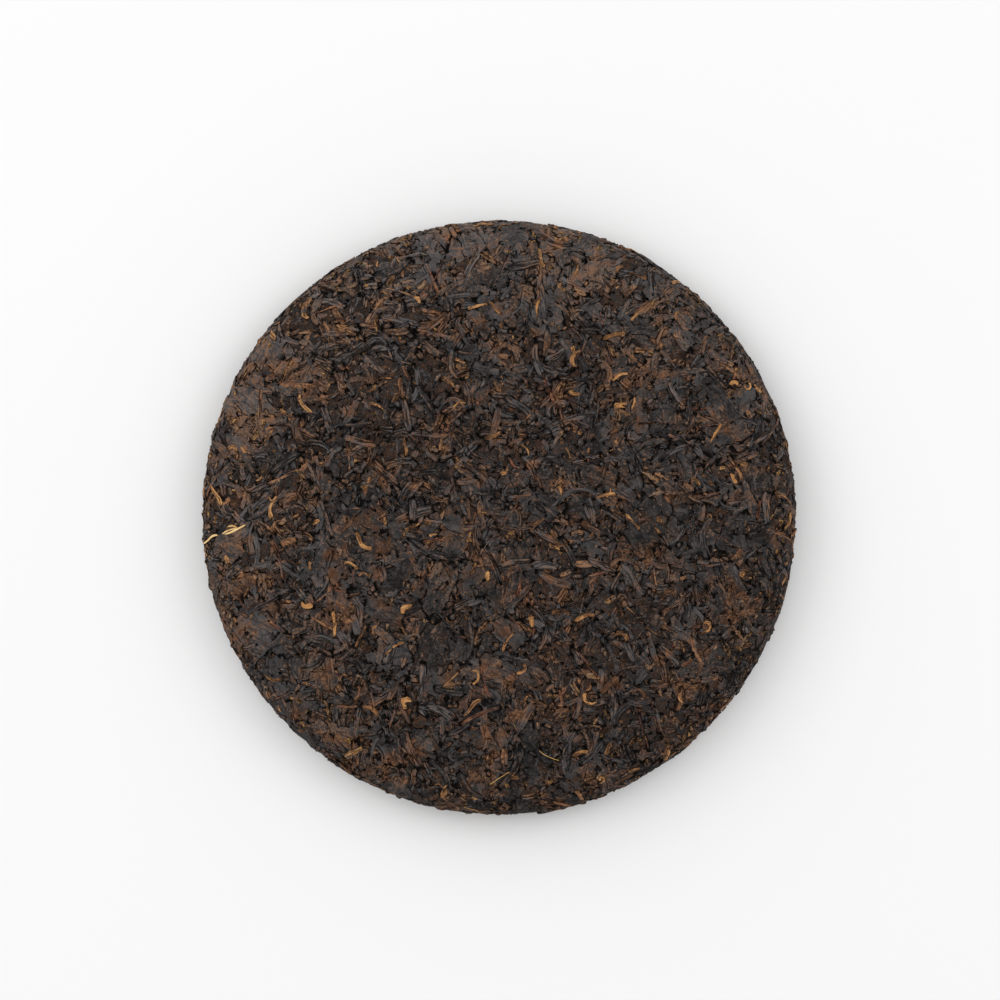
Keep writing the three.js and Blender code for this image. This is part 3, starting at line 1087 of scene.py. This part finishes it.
def add(tree, kind, inputs=(), **settings):
    """Adds a node with its own settings. Each of its inputs, by name or in order, is set to a value
    or linked to another node's output. Gives the node's outputs."""
    node = tree.nodes.new(kind)
    for name, value in settings.items():
        setattr(node, name, value)
    for socket, value in inputs.items() if isinstance(inputs, dict) else enumerate(inputs):
        if isinstance(value, bpy.types.NodeSocket):
            tree.links.new(value, node.inputs[socket])
        else:
            node.inputs[socket].default_value = value
    return node.outputs


def varied(tree, value, *changes):
    """A value with changes added to it, each made of an output, its range, and what the ends of
    that range add."""
    for change in changes:
        part = add(tree, "ShaderNodeMapRange", change)[0]
        value = add(tree, "ShaderNodeMath", (value, part))[0]
    return value


def new_material(name):
    """A material and its node tree, still empty."""
    material = bpy.data.materials.new(name)
    material.use_nodes = True
    material.node_tree.nodes.clear()
    return material, material.node_tree


def matt_surface(tree, leaf, relief, depth, looks):
    """Ends a material of dry leaf, whose relief is this deep in millimetres."""
    uneven = add(tree, "ShaderNodeBump", {"Height": relief, "Strength": 1.0, "Distance": depth * MM})
    shader = add(tree, "ShaderNodeBsdfPrincipled",
                 {"Base Color": leaf, "Normal": uneven[0], "IOR": 1.45, **looks})
    add(tree, "ShaderNodeOutputMaterial", {"Surface": shader[0]})


def leaf_colour(tree, colours, names, shares):
    """A dull leaf colour under a warm one, each from its dark to its light, then the worn colour and
    the painted shade of cracks. The shares say how light, how warm, how worn and how deeply shaded the
    leaf is."""
    *kinds, worn, crack = names
    light, *shown = shares
    leaf, warm = (
        add(tree, "ShaderNodeMix", {FACTOR: light, FIRST: getattr(colours, f"{kind}_dark"),
                                    SECOND: getattr(colours, f"{kind}_light")},
            data_type="RGBA")[MIXED]
        for kind in kinds)
    for share, coat in zip(shown, (warm, getattr(colours, worn), getattr(colours, crack))):
        leaf = add(tree, "ShaderNodeMix", {FACTOR: share, FIRST: leaf, SECOND: coat},
                   data_type="RGBA")[MIXED]
    return leaf


def leaf_material(name, colours, dull, warm, worn, roughness, crack="crack", warmth=0.1, base=0.06,
                  tone=0.52, streak=0.2, blotch=0.3, fleck=0.12, creased=0.9, folded=(0.12, 0.9),
                  wear=0.5, bump=0.4, sheen=0.0):
    """Dried leaf. Its dull and its warm colours, each a dark and a light one, go from dark to light by
    each piece's own tone, by streaks along it and by blotches, which are given as shares, and from
    dull to warm by patches, by blotches and by chance. Flecked with the worn colour. Painted light
    and wear from the mesh make it paler and greyer on ridges, curled edges and the lit side of the
    rim, and darker on the rim's far side, and painted shade makes it black in its creases and
    cracks, along its edges and on its lower side."""
    material, tree = new_material(name)
    grain = add(tree, "ShaderNodeAttribute", attribute_name="grain")["Vector"]
    own_tone, low, lit_and_worn = (add(tree, "ShaderNodeAttribute", attribute_name=attribute)["Fac"]
                             for attribute in ("tone", "low", "lit_and_worn"))
    # Chances that each piece draws from its number in the grain
    number = add(tree, "ShaderNodeSeparateXYZ", (grain,))["Z"]
    chances = add(tree, "ShaderNodeTexWhiteNoise", {"W": number}, noise_dimensions="1D")["Color"]
    chances = add(tree, "ShaderNodeSeparateColor", (chances,))
    # Streaks follow the leaf's fibres, drawn 3 mm long and 0.6 mm apart, about four times as coarse
    # as real ones, so that they show. Folds come so many times to the millimetre along and across it
    streaks, folds = (
        add(tree, "ShaderNodeTexNoise",
            {"Vector": add(tree, "ShaderNodeVectorMath", (grain, per_mm), operation="MULTIPLY")[0],
             "Scale": 1.0, "Detail": detail, "Roughness": rough})["Fac"]
        for per_mm, detail, rough in (((0.35, 1.7, 1), 4.0, 0.6), ((*folded, 1), 3.0, 0.5)))
    # Over the whole cake, patches of 12 mm, blotches of 2.4 mm that are lighter and of 4.5 mm that
    # are browner, and flecks of 0.8 mm with finer ones in them
    place = add(tree, "ShaderNodeTexCoord")["Object"]
    elsewhere = add(tree, "ShaderNodeVectorMath", (place, (1, 2, 3)))[0]
    patches, blotches, warm_blotches, flecks = (
        add(tree, "ShaderNodeTexNoise", {"Vector": where, "Scale": 1 / (width * MM),
                                         "Detail": detail, "Roughness": 0.6})["Fac"]
        for where, width, detail in ((place, 12, 2.0), (place, 2.4, 5.0), (elsewhere, 4.5, 2.0),
                                     (place, 0.8, 3.0)))
    light = add(tree, "ShaderNodeMath", (own_tone, tone), operation="MULTIPLY")[0]
    light = varied(tree, light, (streaks, *MOST, base, base + streak),
                   (blotches, *MOST, -blotch / 2, blotch / 2), (patches, *MIDDLE, -0.08, 0.08),
                   (flecks, *MOST, -fleck, fleck))
    # Greyer where the mesh gives painted light and wear, as a painted sheen, and browner on the rim's
    # painted-shade side
    browner = varied(tree, warmth, (chances["Green"], 0, 1, -0.25, 0.45),
                     (patches, *MIDDLE, -0.35, 0.35), (warm_blotches, *MOST, -0.55, 0.55),
                     (lit_and_worn, -1, 1, 0.2, -0.2), (light, 0.3, 0.9, -0.15, 0.35))
    # Paler by the painted light and wear that the mesh gives, darker where it gives painted shade
    light = varied(tree, light, (lit_and_worn, -1, 1, -0.28, 0.28))
    # Flecks of the worn colour, more of them where the mesh gives painted light and wear
    worn_here = varied(tree, flecks, (chances["Red"], 0.5, 1, 0, 0.15), (streaks, *MOST, -0.1, 0.1),
                       (patches, *MIDDLE, -0.08, 0.08), (lit_and_worn, 0, 1, 0, 0.12))
    worn_here = add(tree, "ShaderNodeMapRange", (worn_here, 0.58, 0.78, 0, wear),
                    interpolation_type="SMOOTHSTEP")[0]
    # Thin creases along the folds, with painted shade in them; the bump sinks them too
    off_fold = add(tree, "ShaderNodeMath", (folds, 0.5), operation="SUBTRACT")[0]
    off_fold = add(tree, "ShaderNodeMath", (off_fold,), operation="ABSOLUTE")[0]
    crease = add(tree, "ShaderNodeMapRange", (off_fold, 0.01, 0.06, 1, 0),
                 interpolation_type="SMOOTHSTEP")[0]
    own_creases = add(tree, "ShaderNodeMapRange", (chances["Blue"], 0, 0.6, 0.3 * creased, creased))[0]
    crease = add(tree, "ShaderNodeMath", (crease, own_creases), operation="MULTIPLY")[0]
    # Painted shade from the mesh, in cracks, along edges and on the lower side, and in the creases
    dark = add(tree, "ShaderNodeMapRange", (low, 0.15, 0.68), interpolation_type="SMOOTHSTEP")[0]
    dark = add(tree, "ShaderNodeMath", (crease, dark), operation="MAXIMUM")[0]
    leaf = leaf_colour(tree, colours, (dull, warm, worn, crack), (light, browner, worn_here, dark))
    relief = add(tree, "ShaderNodeMath", (streaks, flecks))[0]
    relief = add(tree, "ShaderNodeMath", (relief, crease), operation="SUBTRACT")[0]
    # The skin is wrinkled more finely than its relief shows, which leaves hardly any gloss
    rough = add(tree, "ShaderNodeMapRange", (streaks, *MOST, roughness - 0.12, roughness + 0.12))[0]
    matt_surface(tree, leaf, relief, bump, {"Roughness": rough, "Specular IOR Level": 0.04,
                                            "Sheen Weight": sheen, "Sheen Roughness": 0.5})
    return material


def dust_material(name, colours, dull, warm, worn, crack="crack", grit=1.3):
    """Pressed leaf dust: angular grains this wide in millimetres, each of its own tone and warmth,
    some worn to the paler colour, with painted shade between the grains and where the dust lies deep."""
    material, tree = new_material(name)
    own_tone, low = (add(tree, "ShaderNodeAttribute", attribute_name=attribute)["Fac"]
                     for attribute in ("tone", "low"))
    place = add(tree, "ShaderNodeTexCoord")["Object"]
    # Grains are coarser than most real dust, so that they show, and are pulled out of shape by a
    # third of their width. Finer grit lies over them, and patches of 7 mm
    pull, fine, patches = (
        add(tree, "ShaderNodeTexNoise", {"Vector": place, "Scale": 1 / (width * MM),
                                         "Detail": detail, "Roughness": rough})
        for width, detail, rough in ((grit / 0.7, 3.0, 0.5), (0.4 * grit, 4.0, 0.7), (7, 2.0, 0.6)))
    pull = add(tree, "ShaderNodeVectorMath", (pull["Color"], (grit * MM,) * 3), operation="MULTIPLY")
    grain = {"Vector": add(tree, "ShaderNodeVectorMath", (place, pull[0]))[0],
             "Scale": 1 / (grit * MM)}
    chances = add(tree, "ShaderNodeSeparateColor",
                  (add(tree, "ShaderNodeTexVoronoi", grain)["Color"],))
    seams = add(tree, "ShaderNodeTexVoronoi", grain, feature="DISTANCE_TO_EDGE")["Distance"]
    light = varied(tree, 0.1, (chances["Red"], 0, 1, 0, 0.2), (own_tone, 0, 1, -0.1, 0.2),
                   (fine["Fac"], *MOST, -0.15, 0.25))
    browner = varied(tree, 0.0, (chances["Blue"], 0, 1, 0, 0.7), (patches["Fac"], *MIDDLE, -0.2, 0.2))
    worn_here = add(tree, "ShaderNodeMapRange", (chances["Green"], 0.92, 1, 0, 0.4))[0]
    # Painted shade between the grains, and from the mesh where the dust lies deep in cracks
    dark = add(tree, "ShaderNodeMapRange", (seams, 0, 0.12, 0.4, 0), interpolation_type="SMOOTHSTEP")[0]
    dark = add(tree, "ShaderNodeMath", (dark, low), operation="MAXIMUM")[0]
    leaf = leaf_colour(tree, colours, (dull, warm, worn, crack), (light, browner, worn_here, dark))
    relief = varied(tree, fine["Fac"], (seams, 0, 0.3))
    matt_surface(tree, leaf, relief, 0.4 * grit, {"Roughness": 0.85, "Specular IOR Level": 0.05})
    return material


# Stage


def make_floor(stage):
    """A sheet of matt white paper, 6 m wide."""
    half = 3.0
    mesh = bpy.data.meshes.new("floor")
    mesh.from_pydata([(-half, -half, 0), (half, -half, 0), (half, half, 0), (-half, half, 0)], [],
                     [(0, 1, 2, 3)])
    material, tree = new_material("matt_white_paper")
    paper = add(tree, "ShaderNodeBsdfPrincipled",
                {"Base Color": stage.floor, "Roughness": 0.9, "Specular IOR Level": 0.1})
    add(tree, "ShaderNodeOutputMaterial", {"Surface": paper[0]})
    mesh.materials.append(material)
    floor = bpy.data.objects.new("floor", mesh)
    bpy.context.scene.collection.objects.link(floor)


def softbox(name, location, width, height, watts):
    """A rectangular lamp that faces the cake. Metres."""
    light = bpy.data.lights.new(name, "AREA")
    light.shape, light.size, light.size_y, light.energy = "RECTANGLE", width, height, watts
    lamp = bpy.data.objects.new(name, light)
    lamp.location = location
    lamp.rotation_euler = (-Vector(location)).to_track_quat("-Z", "Y").to_euler()
    bpy.context.scene.collection.objects.link(lamp)


def make_light(stage):
    """Even light from all round, with softboxes high at the left and the right and a lower one at
    the back left."""
    world = bpy.data.worlds.new("studio")
    world.use_nodes = True
    background = world.node_tree.nodes["Background"]
    background.inputs["Color"].default_value = (1, 1, 1, 1)
    background.inputs["Strength"].default_value = stage.sky
    bpy.context.scene.world = world
    for side in (-1, 1):
        softbox("side_softbox", (side * 1.25, 0.45, 1.2), 1.2, 1.0, stage.side_light)
    softbox("key_softbox", (-1.1, 1.1, 0.7), 1.2, 0.8, stage.key)


def make_camera(stage):
    """Looks down on the cake, a little from the front and the right, with +Y up in the view."""
    low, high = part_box(CAKE)
    middle = (low + high) / 2
    target = Vector((middle.x + stage.aim_x, middle.y + stage.aim_y, high.z))
    back = Vector((math.sin(stage.towards_right), -math.sin(stage.towards_front), 1)).normalized()
    across = Vector((0, 1, 0)).cross(back).normalized()
    camera_data = bpy.data.cameras.new("camera")
    camera_data.lens = stage.lens
    camera = bpy.data.objects.new("camera", camera_data)
    turn = Matrix((across, back.cross(across), back)).transposed()
    camera.matrix_world = Matrix.Translation(target + back * stage.distance) @ turn.to_4x4()
    bpy.context.scene.collection.objects.link(camera)
    bpy.context.scene.camera = camera


# Operators


class TEACAKE_OT_core(bpy.types.Operator):
    """Lays all the leaf anew and makes the core that it lies on"""
    bl_idname = "teacake.core"
    bl_label = "Core"

    def execute(self, context):
        settings = context.scene.tea_cake
        _laid.clear()
        # Leaf dust pressed under steam: matt, fine-grained and nearly black
        dust = dust_material("pressed_leaf_dust", settings.colours, "slate", "brown", "leaf_worn")
        core = make_core(settings, dust)
        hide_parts(CAKE)
        return {"FINISHED"}


class TEACAKE_OT_blades(bpy.types.Operator):
    """Makes the broad flat leaf"""
    bl_idname = "teacake.blades"
    bl_label = "Broad leaf"

    def execute(self, context):
        settings = context.scene.tea_cake
        # Fermented leaf blade: its dried wax gives a dull grey sheen over crumpled skin
        skin = leaf_material("fermented_leaf_blade", settings.colours, "slate", "brown", "leaf_worn",
                             roughness=0.6, base=0.12, tone=0.28, streak=0.1, blotch=0.22, fleck=0.1,
                             creased=0.5, folded=(0.15, 0.4), wear=0.45, bump=0.2)
        make_leaf(settings, "leaf_blades", skin)
        return {"FINISHED"}


class TEACAKE_OT_strips(bpy.types.Operator):
    """Makes the rolled strips and their broken bits, black and brown"""
    bl_idname = "teacake.strips"
    bl_label = "Rolled leaf"

    def execute(self, context):
        settings = context.scene.tea_cake
        # Rolled fermented leaf: black with a slate sheen on its folds
        black = leaf_material("rolled_black_leaf", settings.colours, "slate", "brown", "leaf_worn",
                              roughness=0.5)
        # Older, coarser leaf that stayed brown: duller
        brown = leaf_material("rolled_brown_leaf", settings.colours, "slate", "brown", "brown_worn",
                              roughness=0.65, warmth=0.55, tone=0.65)
        make_leaf(settings, "leaf_strips", black)
        make_leaf(settings, "leaf_bits", black)
        make_leaf(settings, "brown_strips", brown)
        return {"FINISHED"}


class TEACAKE_OT_stalks(bpy.types.Operator):
    """Makes the straight leaf stalks"""
    bl_idname = "teacake.stalks"
    bl_label = "Stalks"

    def execute(self, context):
        settings = context.scene.tea_cake
        # Dried stalk: woody, reddish and long-grained
        wood = leaf_material("dried_stalk", settings.colours, "slate", "stalk", "brown_worn",
                             roughness=0.6, warmth=0.6, streak=0.3)
        make_leaf(settings, "stalks", wood)
        return {"FINISHED"}


class TEACAKE_OT_buds(bpy.types.Operator):
    """Makes the golden leaf buds"""
    bl_idname = "teacake.buds"
    bl_label = "Buds"

    def execute(self, context):
        settings = context.scene.tea_cake
        # Unopened leaf under fine golden down: matt, with a soft glow at its edges
        down = leaf_material("golden_bud_down", settings.colours, "brown", "bud", "bud_worn",
                             roughness=0.8, warmth=0.6, tone=0.7, streak=0.3, sheen=0.1)
        make_leaf(settings, "buds", down)
        return {"FINISHED"}


class TEACAKE_OT_crumbs(bpy.types.Operator):
    """Makes the dark and the tan crumbs"""
    bl_idname = "teacake.crumbs"
    bl_label = "Crumbs"

    def execute(self, context):
        settings = context.scene.tea_cake
        # Broken leaf: dull angular crumbs
        dark = leaf_material("leaf_crumb", settings.colours, "slate", "brown", "brown_worn",
                             roughness=0.65)
        # Broken bud and stalk: paler crumbs
        tan = leaf_material("bud_crumb", settings.colours, "brown", "tan", "bud_worn",
                            roughness=0.75, warmth=0.8)
        make_leaf(settings, "crumbs", dark)
        make_leaf(settings, "tan_crumbs", tan)
        return {"FINISHED"}


class TEACAKE_OT_fibres(bpy.types.Operator):
    """Makes the thin pale plant fibres"""
    bl_idname = "teacake.fibres"
    bl_label = "Fibres"

    def execute(self, context):
        settings = context.scene.tea_cake
        # Dry straw: pale, with a silky gloss along its grain
        dry = leaf_material("dry_straw", settings.colours, "straw", "straw", "straw_light",
                            roughness=0.45, crack="straw_dark", bump=0.03)
        make_leaf(settings, "fibres", dry)
        return {"FINISHED"}


class TEACAKE_OT_stage(bpy.types.Operator):
    """Makes the floor, the light and the camera"""
    bl_idname = "teacake.stage"
    bl_label = "Stage"

    def execute(self, context):
        stage = context.scene.tea_cake.stage
        make_floor(stage)
        make_light(stage)
        make_camera(stage)
        context.scene.view_settings.view_transform = "Standard"
        return {"FINISHED"}


OPERATORS = (TEACAKE_OT_stage, TEACAKE_OT_core, TEACAKE_OT_blades, TEACAKE_OT_strips,
             TEACAKE_OT_stalks, TEACAKE_OT_buds, TEACAKE_OT_crumbs, TEACAKE_OT_fibres)


class TEACAKE_PT_panel(bpy.types.Panel):
    """Lists the steps that make the tea cake, and all that may be changed"""
    bl_idname = "TEACAKE_PT_panel"
    bl_label = "Pressed tea cake"
    bl_space_type = "VIEW_3D"
    bl_region_type = "UI"
    bl_category = "Tea cake"

    def draw(self, context):
        for operator in OPERATORS:
            self.layout.operator(operator.bl_idname)
        for part in TeaCakeSettings.__annotations__:
            group = getattr(context.scene.tea_cake, part)
            box = self.layout.box()
            for name in type(group).__annotations__:
                box.prop(group, name)


CLASSES = (TeaCakeShape, TeaLeafCounts, TeaLeafColours, TeaStage, TeaCakeSettings, *OPERATORS,
           TEACAKE_PT_panel)


def register():
    """Adds the classes, and the settings to the scene."""
    for cls in CLASSES:
        bpy.utils.register_class(cls)
    bpy.types.Scene.tea_cake = PointerProperty(type=TeaCakeSettings)


def unregister():
    """Takes them away again."""
    del bpy.types.Scene.tea_cake
    for cls in reversed(CLASSES):
        bpy.utils.unregister_class(cls)


def main():
    """Makes every piece in order."""
    register()
    for operator in OPERATORS:
        group, name = operator.bl_idname.split(".")
        getattr(getattr(bpy.ops, group), name)()


if __name__ == "__main__":
    main()
